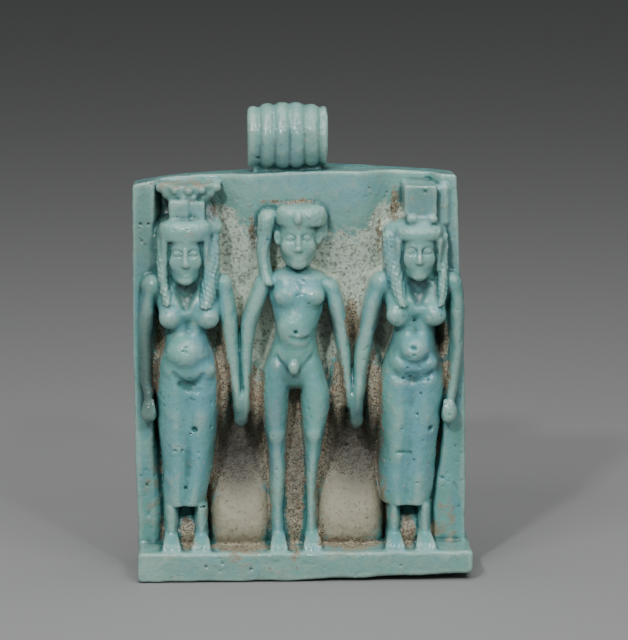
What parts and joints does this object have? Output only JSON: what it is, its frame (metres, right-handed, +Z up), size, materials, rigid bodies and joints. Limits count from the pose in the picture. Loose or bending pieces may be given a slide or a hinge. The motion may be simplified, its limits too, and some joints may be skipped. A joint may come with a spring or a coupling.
{
  "type": "faience triad plaque amulet",
  "caption": "Glazed faience plaque amulet: standing figures in high relief on an arched slab with a plinth and a ribbed cord loop.",
  "frame": {"origin": "middle of the underside of the plinth, at the centre of the part's plan", "axes": "+Z up, the figures face -Y, +X to the right of someone facing them; the slab's back is towards +Y"},
  "size_m": [0.0338, 0.0104, 0.0472],
  "materials": {
    "faience_glaze": "glossy turquoise glaze over a sandy body, paler at the top and the plinth, pitted, with brown unglazed grooves"
  },
  "bodies": {
    "root": {"triad_plaque": "faience_glaze"}
  },
  "joints": []
}
